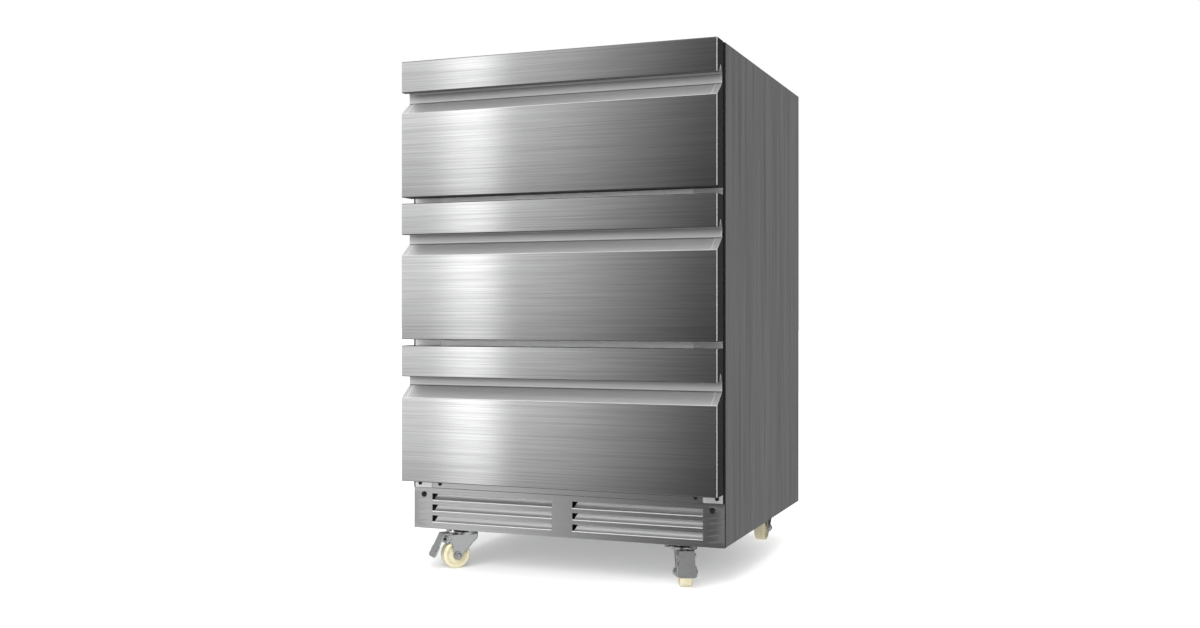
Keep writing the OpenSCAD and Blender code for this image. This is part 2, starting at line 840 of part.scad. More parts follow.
// Rubber feet between the compressor and the base
module compressor_grommets() {
    foot = 12.2;
    color("black") translate([compressor_at[0], compressor_at[1], body_z + base_t])
        for (x = [-1, 1], y = [-1, 1]) translate([x * 52, y * 38, 0]) {
            cylinder(h = foot, r = 9.5);
            cylinder(h = foot + 3.3, r = 6.1);
            translate([0, 0, foot + 3.2]) cylinder(h = 2.5, r = 8.5);
        }
}

condenser_h = 150;
condenser_d = 40;
condenser_y = 178;
condenser_half = 78;

module condenser_coil() {
    centre = [condenser_x, condenser_y, condenser_z];
    color("dimgray") fin_coil(centre, condenser_half, condenser_d, condenser_h, 5);
}

shroud_y = condenser_y + condenser_d / 2 + gap;
shroud_depth = 24;

// Box shroud behind the condenser, round the fan
module condenser_fan_shroud() {
    half = 82;
    r = condenser_fan_d / 2 + 3;
    color("gray") translate([condenser_x, shroud_y, condenser_z]) difference() {
        union() {
            slab([-half, half], [0, 1.2], [-half, half]);
            rod_y([0, 0, 0], shroud_depth, r + 1.2);
        }
        rod_y([0, -1, 0], shroud_depth + 2, r);
    }
}

condenser_fan_y = shroud_y + 3;
condenser_fan_depth = 20;

module condenser_fan_blade() {
    color("silver") translate([condenser_x, condenser_fan_y, condenser_z])
        fan_rotor(condenser_fan_d, 5, 16, condenser_fan_depth, shaft_r, 26);
}

// Motor on a cross arm that is bolted to the shroud's ring
module condenser_fan_motor() {
    y = condenser_fan_y + condenser_fan_depth + 4;
    arm_y = shroud_y + shroud_depth + gap;
    reach = condenser_fan_d / 2 + 4;
    color("darkslategray") translate([condenser_x, 0, condenser_z]) {
        translate([0, y, 0]) fan_motor(30, 34, shaft_r, 22);
        both_sides() slab([28, reach], [arm_y, arm_y + 4], [-7, 7]);
    }
}

// Evaporation tray, and the pipe that drains the cavity into it
module drain_tray() {
    x = [-80, 40];
    y = [192, 290];
    z = [body_z + base_t + gap, 99];
    wall = 1.5;
    color("dimgray") {
        difference() {
            slab(x, y, z);
            slab([x[0] + wall, x[1] - wall], [y[0] + wall, y[1] - wall], [z[0] + wall, z[1] + 1]);
        }
        translate([drain_at[0], drain_at[1], 0]) difference() {
            translate([0, 0, 103]) cylinder(h = step_z - 103, r = 6);
            translate([0, 0, 100]) cylinder(h = step_z, r = 4.8);
        }
    }
}

// A pipe through a list of points, with ball corners
module pipe(points, r) {
    for (i = [1:len(points) - 1]) let (a = points[i - 1], b = points[i], d = b - a, l = norm(d))
        translate(a) rotate([0, acos(d[2] / l), atan2(d[1], d[0])]) cylinder(h = l, r = r);
    for (i = [1:len(points) - 2]) translate(points[i]) sphere(r * 1.02);
}

// Suction, discharge and liquid lines, and the filter drier
module refrigerant_lines() {
    stub_z = compressor_z + compressor_h + 12;
    coil_x = evaporator_x + 6;
    low_row = evaporator_at[2] - evaporator_h * 3 / 8;
    high_row = evaporator_at[2] + evaporator_h * 3 / 8;
    discharge = compressor_at + pipe_stubs[0];
    right_x = condenser_x + condenser_half + 6;
    hot = [condenser_y - condenser_d / 4, condenser_z + condenser_h * 0.4];
    cold = [condenser_y + condenser_d / 4, condenser_z - condenser_h * 0.4];
    discharge_z = 271;
    liquid_z = 258;
    drier = [-62, 182];
    behind = 252;
    color("peru") {
        pipe([
            [suction_at[0], suction_at[1], stub_z],
            [suction_at[0], suction_at[1], low_row],
            [coil_x, suction_at[1], low_row]
        ], 4);
        pipe([
            [discharge[0], discharge[1], stub_z],
            [discharge[0], discharge[1], discharge_z],
            [discharge[0], hot[0], discharge_z],
            [right_x + 8, hot[0], discharge_z],
            [right_x + 8, hot[0], hot[1]],
            [right_x, hot[0], hot[1]]
        ], 3.2);
        pipe([
            [right_x, cold[0], cold[1]],
            [drier[0] - 12, cold[0], cold[1]],
            [drier[0] - 12, drier[1], cold[1]],
            [drier[0], drier[1], cold[1]],
            [drier[0], drier[1], cold[1] + 22]
        ], 3.2);
        translate([drier[0], drier[1], cold[1] + 20]) {
            cylinder(h = 8, r1 = 3.2, r2 = 9.5);
            translate([0, 0, 8]) cylinder(h = 70, r = 9.5);
            translate([0, 0, 78]) cylinder(h = 8, r1 = 9.5, r2 = 1.8);
        }
        pipe([
            [drier[0], drier[1], cold[1] + 105],
            [drier[0], drier[1], liquid_z],
            [drier[0], behind, liquid_z],
            [capillary_at[0], behind, liquid_z],
            [capillary_at[0], capillary_at[1], liquid_z],
            [capillary_at[0], capillary_at[1], high_row],
            [coil_x, capillary_at[1], high_row]
        ], 1.8);
    }
}

inlet_x = 240;
inlet_z = 250;

// Electrical box with its lid, beside the compressor
module control_box() {
    x = [206, 278];
    y = [240, 300];
    z = [80, 218];
    lid = 2;
    color("dimgray") {
        slab(x, [y[0] + lid + gap, y[1]], z);
        slab([x[0] - 1.5, x[1] + 1.5], [y[0], y[0] + lid], [z[0] - 1.5, z[1] + 1.5]);
        translate([inlet_x, 270, z[1] + gap]) cylinder(h = 10, r = 7);
    }
}

// Recessed mains inlet with three pins
module power_inlet() {
    color("black") translate([inlet_x, panel_rear_y, inlet_z]) {
        difference() {
            union() {
                slab([-30, 30], [skin_t, rear_y - panel_rear_y], [-17, 17]);
                slab([-23.5, 23.5], [-26, skin_t + eps], [-13.5, 13.5]);
            }
            slab([-12, 12], [-16, 10], [-8, 8]);
        }
        for (at = [[-7, -2], [0, 2], [7, -2]])
            slab([at[0] - 1, at[0] + 1], [-16.5, -2], [at[1] - 2, at[1] + 2]);
    }
}

left_side_panel();
right_side_panel();
top_panel();
rear_panel();
rear_grille();
base_pan();
inner_liner();
foam_insulation();
frame_stiles();
frame_rails();
sill_rail();
breaker_strips();
louvre_panel();
panel_screws();
fixed_rails();
evaporator_coil();
evaporator_cover();
evaporator_fan_motor();
evaporator_fan_blade();
compressor();
compressor_grommets();
condenser_coil();
condenser_fan_shroud();
condenser_fan_motor();
condenser_fan_blade();
drain_tray();
refrigerant_lines();
control_box();
power_inlet();
drawer_1_front();
drawer_1_core();
drawer_1_gasket();
drawer_1_box();
drawer_1_runners();
drawer_2_front();
drawer_2_core();
drawer_2_gasket();
drawer_2_box();
drawer_2_runners();
drawer_3_front();
drawer_3_core();
drawer_3_gasket();
drawer_3_box();
drawer_3_runners();
drawer_1_mid_rails();
drawer_2_mid_rails();
drawer_3_mid_rails();
caster_plates();
caster_bolts();
front_left_fork();
front_right_fork();
rear_left_fork();
rear_right_fork();
front_left_wheel();
front_right_wheel();
rear_left_wheel();
rear_right_wheel();
front_left_brake_pedal();
front_right_brake_pedal();
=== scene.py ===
"""Looks for the under counter fridge: brushed steel, folded edges, seals, casters and the studio around them.

Lengths are in metres, unless a name ends in _mm or a comment says otherwise. The CAD frame gives the places and
sizes of its nodes and joints, and the numbers here are the small ones that it doesn't hold.
"""

import json
import math

import bpy
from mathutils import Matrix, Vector


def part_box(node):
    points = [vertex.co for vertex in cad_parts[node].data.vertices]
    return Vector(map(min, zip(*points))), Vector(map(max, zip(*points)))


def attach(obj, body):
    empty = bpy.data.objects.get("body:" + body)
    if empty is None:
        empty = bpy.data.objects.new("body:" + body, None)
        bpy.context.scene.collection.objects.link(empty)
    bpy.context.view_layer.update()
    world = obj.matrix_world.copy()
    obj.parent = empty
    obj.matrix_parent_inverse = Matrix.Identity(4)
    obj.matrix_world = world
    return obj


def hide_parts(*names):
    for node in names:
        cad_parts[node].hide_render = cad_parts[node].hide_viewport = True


MM = 0.001

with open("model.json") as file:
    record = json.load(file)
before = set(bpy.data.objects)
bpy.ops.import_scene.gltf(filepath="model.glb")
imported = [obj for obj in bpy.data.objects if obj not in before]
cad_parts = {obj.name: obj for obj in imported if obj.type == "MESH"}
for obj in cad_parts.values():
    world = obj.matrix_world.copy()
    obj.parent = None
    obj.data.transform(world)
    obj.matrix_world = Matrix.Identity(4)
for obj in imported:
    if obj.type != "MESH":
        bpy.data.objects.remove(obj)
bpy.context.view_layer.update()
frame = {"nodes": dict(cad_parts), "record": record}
scene = bpy.context.scene
DRAWERS = (1, 2, 3)


# ---------------------------------------------------------------- node helpers

class Shader:
    """A node tree with short ways to add and link nodes."""

    def __init__(self, tree):
        self.tree = tree
        tree.nodes.clear()

    def node(self, kind, **settings):
        made = self.tree.nodes.new(kind)
        for key, value in settings.items():
            setattr(made, key, value)
        return made

    def put(self, socket, value):
        if isinstance(value, bpy.types.NodeSocket):
            self.tree.links.new(value, socket)
        elif isinstance(value, (tuple, list)) and len(value) == 3 and socket.type == "RGBA":
            socket.default_value = (*value, 1)
        else:
            socket.default_value = value

    def math(self, op, *values):
        made = self.node("ShaderNodeMath", operation=op)
        for socket, value in zip(made.inputs, values):
            self.put(socket, value)
        return made.outputs[0]

    def smooth(self, value, low, high):
        """0 below low, 1 above high and an S curve between them."""
        made = self.node("ShaderNodeMapRange", interpolation_type="SMOOTHSTEP")
        self.put(made.inputs["Value"], value)
        made.inputs["From Min"].default_value = low
        made.inputs["From Max"].default_value = high
        return made.outputs["Result"]

    def between(self, value, low, high):
        """Maps 0 to 1 onto low to high."""
        made = self.node("ShaderNodeMapRange")
        self.put(made.inputs["Value"], value)
        made.inputs["To Min"].default_value = low
        made.inputs["To Max"].default_value = high
        return made.outputs["Result"]

    def mix(self, fac, a, b):
        """Linear mix of two numbers."""
        made = self.node("ShaderNodeMix", data_type="FLOAT")
        self.put(made.inputs["Factor"], fac)
        self.put(made.inputs["A"], a)
        self.put(made.inputs["B"], b)
        return made.outputs["Result"]

    def toned(self, colour, tone):
        """A colour times a grey tone."""
        made = self.node("ShaderNodeMix", data_type="RGBA", blend_type="MULTIPLY")
        self.put(made.inputs["Factor"], 1.0)
        colour_a, colour_b, result = made.inputs[6], made.inputs[7], made.outputs[2]
        self.put(colour_a, colour)
        self.put(colour_b, tone)
        return result

    def ramp(self, fac, stops):
        """Grey ramp; stops are (place, grey)."""
        made = self.node("ShaderNodeValToRGB")
        self.put(made.inputs["Fac"], fac)
        band = made.color_ramp
        while len(band.elements) < len(stops):
            band.elements.new(0.5)
        for element, (place, grey) in zip(band.elements, stops):
            element.position = place
            element.color = (grey, grey, grey, 1)
        return made.outputs["Color"]

    def object_xyz(self, scale=(1, 1, 1)):
        """Object coordinates in metres, stretched by scale."""
        place = self.node("ShaderNodeTexCoord").outputs["Object"]
        made = self.node("ShaderNodeMapping")
        made.inputs["Scale"].default_value = scale
        self.put(made.inputs["Vector"], place)
        return made.outputs["Vector"]

    def split(self, vector):
        made = self.node("ShaderNodeSeparateXYZ")
        self.put(made.inputs[0], vector)
        return made.outputs

    def noise(self, scale, detail=2.0, stretch=(1, 1, 1), rough=0.5):
        made = self.node("ShaderNodeTexNoise")
        self.put(made.inputs["Vector"], self.object_xyz(stretch))
        made.inputs["Scale"].default_value = scale
        made.inputs["Detail"].default_value = detail
        made.inputs["Roughness"].default_value = rough
        return made.outputs["Fac"]

    def bump(self, height, strength, distance):
        made = self.node("ShaderNodeBump")
        made.inputs["Strength"].default_value = strength
        made.inputs["Distance"].default_value = distance
        self.put(made.inputs["Height"], height)
        return made.outputs["Normal"]


def surface(name, build):
    """Makes a material whose build(shader, principled) fills in the nodes."""
    material = bpy.data.materials.new(name)
    material.use_nodes = True
    s = Shader(material.node_tree)
    out = s.node("ShaderNodeOutputMaterial")
    principled = s.node("ShaderNodeBsdfPrincipled")
    s.put(out.inputs["Surface"], principled.outputs[0])
    build(s, principled)
    return material


def grey(value, tint=0.0):
    """A grey that leans a little to blue as tint grows."""
    return (value * (1 - tint), value, value * (1 + tint))


# ---------------------------------------------------------------- materials

LINES_PER_METRE = 560.0
BUNDLES_PER_METRE = 460.0
MOST_UNEVEN = 0.16  # largest share by which the brushing changes the roughness


def brushed(name, base, grain, rough, streaks=0.06, shade=None, lengthwise=6.0, aniso=1.0,
            metallic=1.0):
    """Brushed stainless steel, with its brush lines along the axis called grain.

    streaks is the share by which the lines change the tone, lengthwise how many lines follow each other in a
    metre, and shade(shader) a slow tone of painted shade and light over the sheet.
    """

    def build(s, p):
        uneven = min(2 * streaks, MOST_UNEVEN)
        fine, coarse = [LINES_PER_METRE] * 3, [BUNDLES_PER_METRE] * 3
        fine["XYZ".index(grain)] = lengthwise
        coarse["XYZ".index(grain)] = lengthwise / 2
        line = s.smooth(s.noise(1.0, 3.0, fine, 0.65), 0.3, 0.7)
        bundle = s.smooth(s.noise(1.0, 1.0, coarse), 0.3, 0.7)
        cloud = s.noise(5.0, 2.0)
        tone = s.between(s.mix(0.4, line, bundle), 1 - streaks, 1 + streaks)
        tone = s.math("MULTIPLY", tone, s.between(cloud, 0.98, 1.02))
        # shade paints light and shade into the tone
        if shade:
            tone = s.math("MULTIPLY", tone, shade(s))
        s.put(p.inputs["Base Color"], s.toned(grey(base, 0.004), tone))
        p.inputs["Metallic"].default_value = metallic
        s.put(p.inputs["Roughness"], s.between(bundle, rough * (1 + uneven), rough * (1 - uneven)))
        p.inputs["Anisotropic"].default_value = aniso
        s.put(p.inputs["Tangent"], s.node("ShaderNodeTangent", direction_type="RADIAL", axis=grain).outputs[0])
        s.put(p.inputs["Normal"], s.bump(line, 0.03, 0.0002))

    return surface(name, build)


# Lower edge of the lowest front, and the distance from one front to the next
FRONT_LOW, FRONT_PITCH = 161.5 * MM, 251.5 * MM
# Heights above a front's lower edge: the slope, its fold, the band and the top of the finger channel
SLOPE_LOW, FOLD, BAND, PEAK = 148.5 * MM, 169.5 * MM, 185.5 * MM, 200.5 * MM


def up_the_front(s):
    """Height above the lower edge of a drawer front, as a share of FRONT_PITCH."""
    z = s.split(s.object_xyz())[2]
    return s.math("DIVIDE", s.math("MODULO", s.math("SUBTRACT", z, FRONT_LOW), FRONT_PITCH), FRONT_PITCH)


def painted_front_shade(s):
    """Painted shade and light: each drawer front is painted a little lighter towards its top edges and darker
    towards its lower edge, and its band the same.
    """
    return s.ramp(up_the_front(s),
                  [(0.0, 0.70), (0.2, 0.88), (0.585, 1.15), (0.60, 0.9), (0.735, 0.86), (0.955, 1.08)])


def painted_channel_shade(s):
    """The finger channel, in painted shade and light: a painted dark line along the fold between slope and
    wall, a painted light line just above it, and painted shade on the wall, which darkens under the band.
    """
    fold, half = FOLD / FRONT_PITCH, 0.6 * MM / FRONT_PITCH
    return s.ramp(up_the_front(s), [
        (0.60, 1.0), (fold - 2 * half, 1.0), (fold - half, 0.35), (fold + half, 0.35),
        (fold + 2 * half, 1.2), (0.69, 1.05), (0.705, 0.9), (0.725, 0.65), (0.75, 0.35), (0.79, 0.9),
    ])


def stile_gap_shadow(s):
    """Painted shadow: the outer edges of the face frame are painted near black, standing in for the shadow in
    the gap beside the side panels.
    """
    steel_ends, gap_shadow_starts, gap_shadow_tone = 286.6 * MM, 287.2 * MM, 0.03
    x = s.math("ABSOLUTE", s.split(s.object_xyz())[0])
    return s.mix(s.smooth(x, steel_ends, gap_shadow_starts), 1.0, gap_shadow_tone)


def metal(name, base, rough, tint=0.0, mottling=0.05, scale=60.0, colour=None, metallic=1.0):
    """Plain metal with a slight mottled tone."""

    def build(s, p):
        spots = s.noise(scale, 3.0)
        tone = s.between(spots, 1 - mottling, 1 + mottling)
        s.put(p.inputs["Base Color"], s.toned(colour or grey(base, tint), tone))
        p.inputs["Metallic"].default_value = metallic
        s.put(p.inputs["Roughness"], s.between(spots, rough - 0.05, rough + 0.05))
        s.put(p.inputs["Normal"], s.bump(spots, 0.015, 0.0003))

    return surface(name, build)


def spangled(name, base):
    """Galvanised sheet with zinc crystals."""

    def build(s, p):
        crystals_per_metre = 110
        cells = s.node("ShaderNodeTexVoronoi", feature="F1")
        s.put(cells.inputs["Vector"], s.object_xyz())
        cells.inputs["Scale"].default_value = crystals_per_metre
        facet = s.split(cells.outputs["Color"])[0]
        tone = s.between(facet, 0.86, 1.08)
        s.put(p.inputs["Base Color"], s.toned(grey(base, 0.01), tone))
        p.inputs["Metallic"].default_value = 0.9
        s.put(p.inputs["Roughness"], s.between(facet, 0.34, 0.5))

    return surface(name, build)


def plain(name, colour, rough, vary=0.06, scale=25.0, grain_mm=0.15, fine=350.0, subsurface=0.0, coat=0.0,
          shine=0.5):
    """Moulded, painted or foamed surface with a slow change of tone and a fine texture."""

    def build(s, p):
        slow = s.noise(scale, 3.0)
        close = s.noise(fine, 2.0)
        tone = s.between(slow, 1 - vary, 1 + vary)
        s.put(p.inputs["Base Color"], s.toned(colour, tone))
        s.put(p.inputs["Roughness"], s.between(close, rough - 0.05, rough + 0.05))
        p.inputs["Coat Weight"].default_value = coat
        p.inputs["Specular IOR Level"].default_value = shine
        p.inputs["Subsurface Weight"].default_value = subsurface
        p.inputs["Subsurface Scale"].default_value = 4 * MM
        s.put(p.inputs["Normal"], s.bump(close, 0.12, grain_mm * MM))

    return surface(name, build)


LOOK = {
    "steel_front": brushed("steel_front", 0.63, "X", 0.105, 0.15, painted_front_shade),
    "steel_side": brushed("steel_side", 0.41, "Z", 0.34, 0.075),
    "steel_frame": brushed("steel_frame", 0.46, "X", 0.22, 0.02, aniso=0.8),
    "steel_inner": brushed("steel_inner", 0.70, "X", 0.33, 0.06, lengthwise=12.0, aniso=0.5),
    "galvanised": spangled("galvanised", 0.62),
    "zinc_plated": metal("zinc_plated", 0.45, 0.27, 0.01, 0.06),
    "black_trim": plain("black_trim", (0.012, 0.012, 0.013), 0.65, shine=0.2),
    "seal": plain("seal", (0.02, 0.02, 0.021), 0.7, 0.1, grain_mm=0.05, shine=0.1),
    "moulded_panel": plain("moulded_panel", (0.80, 0.81, 0.81), 0.35, 0.02, coat=0.2),
    "foam": plain("foam", (0.83, 0.72, 0.42), 0.9, 0.1, scale=40.0, grain_mm=0.6, fine=500.0),
    "black_screw": metal("black_screw", 0.045, 0.3, 0.0, 0.1, 300.0),
    "nylon": plain("nylon", (0.60, 0.56, 0.39), 0.38, 0.02, 40.0, subsurface=0.1, coat=0.15),
    "fins": metal("fins", 0.78, 0.3, 0.01, 0.05),
    "black_paint": plain("black_paint", (0.012, 0.012, 0.014), 0.3, 0.1, coat=0.4),
    "copper": metal("copper", 0.7, 0.3, 0.0, 0.12, 30.0, colour=(0.80, 0.42, 0.28)),
    "motor_case": plain("motor_case", (0.05, 0.05, 0.055), 0.42, 0.1),
    "grey_plastic": plain("grey_plastic", (0.14, 0.14, 0.145), 0.5, 0.08),
}
# The channel's wall and slope carry the painted shade and light of the finger channel.
WALL = brushed("steel_channel_wall", 0.62, "X", 0.45, 0.04, painted_channel_shade, aniso=0.3, metallic=0.88)
SLOPE = brushed("steel_channel_slope", 0.69, "X", 0.45, 0.06, painted_channel_shade, aniso=0.3, metallic=0.82)
# Painted shade: near-black steel for faces where shade falls: the front's lower face, its top and band edge
# bends and the inside of the finger pocket.
PAINTED_SHADE = brushed("steel_channel_painted_shade", 0.12, "X", 0.5, 0.06)
# Painted highlight: light, half-matte steel on the rounded ends of the fronts, the slope's lower bend and the
# slot lips of the kick panel, so they read as bright lines.
EDGE_HIGHLIGHT = metal("steel_edge_highlight", 0.95, 0.3, 0.0, 0.03, metallic=0.85)
SEAM = metal("weld_seam", 0.80, 0.4, 0.0, 0.03, metallic=0.75)
# Painted shade: the drawer ends get darker steel than the fronts, for the shade on them.
END_SHADE = metal("steel_end_shade", 0.32, 0.26, 0.0, 0.04, 40.0)
TOP = brushed("steel_top", 0.42, "X", 0.34, 0.12)
FIN = brushed("steel_fin", 0.74, "X", 0.30, 0.02, aniso=0.5, metallic=0.9)
# Painted light: the frame rails and stiles get lighter, more matte copies of the frame steel, so that they read
# as lit; the stiles also carry the painted gap shadow.
LIT_RAIL = brushed("steel_rail_lit", 0.95, "X", 0.36, 0.03, aniso=0.5, metallic=0.6)
LIT_STILE = brushed("steel_stile_lit", 0.80, "X", 0.36, 0.04, stile_gap_shadow, aniso=0.5, metallic=0.85)
NODE_LOOK = {"top_panel": TOP, "frame_rails": LIT_RAIL, "frame_stiles": LIT_STILE}


# ---------------------------------------------------------------- mesh helpers

def fillet(points, steps=5):
    """Rounds an outline. points are (x, y, radius); a radius of 0 keeps the corner."""
    loop = []
    count = len(points)
    for i, (x, y, r) in enumerate(points):
        here = Vector((x, y))
        if r <= 0:
            loop.append(here)
            continue
        back = (Vector(points[i - 1][:2]) - here).normalized()
        on = (Vector(points[(i + 1) % count][:2]) - here).normalized()
        half = back.angle(on) / 2
        centre = here + (back + on).normalized() * r / math.sin(half)
        first = here + back * r / math.tan(half) - centre
        last = here + on * r / math.tan(half) - centre
        a = math.atan2(first.y, first.x)
        sweep = (math.atan2(last.y, last.x) - a + math.pi) % (2 * math.pi) - math.pi
        loop += [centre + Vector((math.cos(a + sweep * k / steps), math.sin(a + sweep * k / steps))) * r
                 for k in range(steps + 1)]
    return loop


def inset(loop, d):
    """Moves an anticlockwise outline inwards by d."""
    moved = []
    for i, here in enumerate(loop):
        u = (here - loop[i - 1]).normalized()
        v = (loop[(i + 1) % len(loop)] - here).normalized()
        nu, nv = Vector((-u.y, u.x)), Vector((-v.y, v.x))
        moved.append(here + (nu + nv) * d / (1 + nu.dot(nv)))
    return moved


def piece(name, verts, faces, body, slot, materials=None, pick=None, smooth=True, angle=40):
    """A mesh that rides on a body. pick(centre, normal) chooses between several materials."""
    mesh = bpy.data.meshes.new(name)
    mesh.from_pydata([tuple(v) for v in verts], [], faces)
    mesh.validate()
    mesh.update()
    for material in materials or [LOOK[slot]]:
        mesh.materials.append(material)
    if pick:
        for polygon in mesh.polygons:
            polygon.material_index = pick(polygon.center, polygon.normal)
    if smooth:
        mesh.polygons.foreach_set("use_smooth", [True] * len(mesh.polygons))
        mesh.set_sharp_from_angle(angle=math.radians(angle))
    made = bpy.data.objects.new(name, mesh)
    scene.collection.objects.link(made)
    if smooth:
        weighted = made.modifiers.new("normals", "WEIGHTED_NORMAL")
        weighted.keep_sharp = True
    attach(made, body)
    return made


def loft(rings):
    """Vertices and faces of a solid through rings of equal length, with flat caps."""
    n = len(rings[0])
    verts = [v for ring in rings for v in ring]
    faces = []
    for r in range(len(rings) - 1):
        for i in range(n):
            j = (i + 1) % n
            faces.append((r * n + i, r * n + j, (r + 1) * n + j, (r + 1) * n + i))
    faces.append(tuple(reversed(range(n))))
    faces.append(tuple(range((len(rings) - 1) * n, len(rings) * n)))
    return verts, faces


def add(verts, faces, more):
    """Appends another (verts, faces) pair to the lists."""
    base = len(verts)
    verts += more[0]
    faces += [tuple(base + i for i in face) for face in more[1]]


def bar_x(outline, x0, x1, end_r):
    """Rings of a (y, z) outline drawn along X, with ends rounded by end_r.

    The outline is anticlockwise seen from +X.
    """
    rings = []
    steps = 3
    turns = [k / steps * math.pi / 2 for k in range(steps + 1)]
    for x_of, order in ((lambda t: x0 + end_r * (1 - math.cos(t)), turns),
                        (lambda t: x1 - end_r * (1 - math.cos(t)), turns[::-1])):
        for t in order:
            ring = inset(outline, end_r * (1 - math.sin(t))) if end_r else outline
            rings.append([Vector((x_of(t), p.x, p.y)) for p in ring])
    return rings


def soften(target, width_mm):
    """Rounds the edges of a CAD node that are sharper than 35 degrees, with modifiers."""
    weld = target.modifiers.new("weld", "WELD")
    weld.merge_threshold = 0.01 * MM
    flat = target.modifiers.new("flat", "DECIMATE")
    flat.decimate_type = "DISSOLVE"
    flat.angle_limit = math.radians(1)
    bevel = target.modifiers.new("bevel", "BEVEL")
    bevel.width = width_mm * MM
    bevel.segments = 2
    bevel.limit_method = "ANGLE"
    bevel.angle_limit = math.radians(35)
    bevel.harden_normals = True


# ---------------------------------------------------------------- drawer fronts

def drawer_front(n):
    """The folded skin of a front: rolled bends, a finger channel and rounded ends."""
    lo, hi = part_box(f"drawer_{n}_front")
    deep, tall = hi.y - lo.y - 0.3 * MM, hi.z - lo.z
    bend, lip, end_bend = 1.6 * MM, 0.9 * MM, 0.9 * MM
    under, apex, back = 12 * MM, 20 * MM, 28.5 * MM
    points = [
        (0, 0, bend), (deep, 0, bend), (deep, tall, bend), (0, tall, bend),
        (0, BAND, bend), (under, BAND, lip), (apex, PEAK, bend), (back, BAND, lip), (back, FOLD, lip),
        (0, SLOPE_LOW, bend),
    ]
    outline = [Vector((lo.y + p.x, lo.z + p.y)) for p in fillet(points)]
    verts, faces = loft(bar_x(outline, lo.x, hi.x, end_bend))
    materials = [LOOK["steel_front"], WALL, SLOPE, PAINTED_SHADE, EDGE_HIGHLIGHT, END_SHADE]
    front_steel, wall, slope, shade_paint, edge, end = range(len(materials))

    def pick(centre, normal):
        """Material of a face, by how far it lies behind the front's face and above its lower edge."""
        depth, height = centre.y - lo.y, centre.z - lo.z
        # Painted shade: the end faces take the dark end steel
        if abs(normal.x) > 0.8:
            return end
        # Painted shade: the lower face takes the near-black steel
        if normal.z < -0.8 and height < MM:
            return shade_paint
        # Painted highlight: the rounded ends and the slope's lower bend take the light edge steel; the other
        # edge bends take painted shade
        if depth < 2 * MM and height > 3 * MM and abs(normal.x) > 0.2:
            return edge
        if depth < 2 * MM and 0.3 < abs(normal.z) < 0.97:
            return edge if abs(height - SLOPE_LOW) < 3 * MM else shade_paint
        if depth > back + MM or not SLOPE_LOW - MM < height < PEAK + MM:
            return front_steel
        if height < FOLD:
            return slope if normal.z > 0.3 else front_steel
        if normal.y < -0.3 and depth > apex - MM:
            return wall
        # Painted shade inside the finger pocket and under the band
        return shade_paint if depth > bend else front_steel

    front = piece(f"drawer_{n}_skin", verts, faces, f"drawer_{n}", "steel_front", materials, pick)
    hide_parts(f"drawer_{n}_front")

    # Seams of the end plates, pressed ridges across the sloping face
    along_slope = Vector((0, back, FOLD - SLOPE_LOW)).normalized()
    out = Vector((0, SLOPE_LOW - FOLD, back)).normalized()
    start = Vector((0, lo.y, lo.z + SLOPE_LOW))
    seam_x, seam_ends = hi.x - 10.5 * MM, (2.5 * MM, 34 * MM)
    ridge_mm = ((1.7, -0.3), (1.1, 0.35), (-1.1, 0.35), (-1.7, -0.3))
    verts, faces = [], []
    for side in (-1, 1):
        foot = start + Vector((side * seam_x, 0, 0))
        add(verts, faces, loft([[foot + along_slope * along + out * lift * MM + Vector((across * MM, 0, 0))
                                 for across, lift in ridge_mm] for along in seam_ends]))
    piece(f"drawer_{n}_end_seams", verts, faces, f"drawer_{n}", "steel_front", [SEAM], smooth=False)


for number in DRAWERS:
    drawer_front(number)


# ---------------------------------------------------------------- seals

def frame_sweep(name, profile, x_half, z_low, z_high, body, slot):
    """Sweeps a profile (inwards, y) round a rectangle with mitred corners."""
    corners = [(-1, 0), (1, 0), (1, 1), (-1, 1)]
    rings = []
    for cx, cz in corners:
        ring = []
        for p in profile:
            x = cx * (x_half - p.x)
            z = z_low + p.x if cz == 0 else z_high - p.x
            ring.append(Vector((x, p.y, z)))
        rings.append(ring)
    n, sides = len(profile), len(corners)
    verts = [v for ring in rings for v in ring]
    faces = []
    for side in range(sides):
        a, b = side * n, (side + 1) % sides * n
        faces += [(a + i, b + i, b + (i + 1) % n, a + (i + 1) % n) for i in range(n)]
    return piece(name, verts, faces, body, slot)


def gasket(n):
    """Magnetic seal: a flat magnet bead in front and two bellows folds behind it."""
    lo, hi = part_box(f"drawer_{n}_gasket")
    width_mm = 14
    # One side of the profile, in mm: how far in from its edge, the share of its depth, and the corner's radius
    side = [(1.5, 0.0, 0), (1.5, 0.18, 0.5), (3.2, 0.34, 0.5), (1.2, 0.5, 0.6), (3, 0.66, 0.5), (0, 0.80, 0.5),
            (0, 1.0, 0.8)]
    points = [(width_mm - inwards, share, radius) for inwards, share, radius in side] + side[::-1]
    points = [(x * MM, lo.y + (hi.y - lo.y) * share, radius * MM) for x, share, radius in points]
    made = frame_sweep(f"drawer_{n}_seal", fillet(points, 2), hi.x, lo.z, hi.z, f"drawer_{n}", "seal")
    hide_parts(f"drawer_{n}_gasket")


for number in DRAWERS:
    gasket(number)


# ---------------------------------------------------------------- kick panel

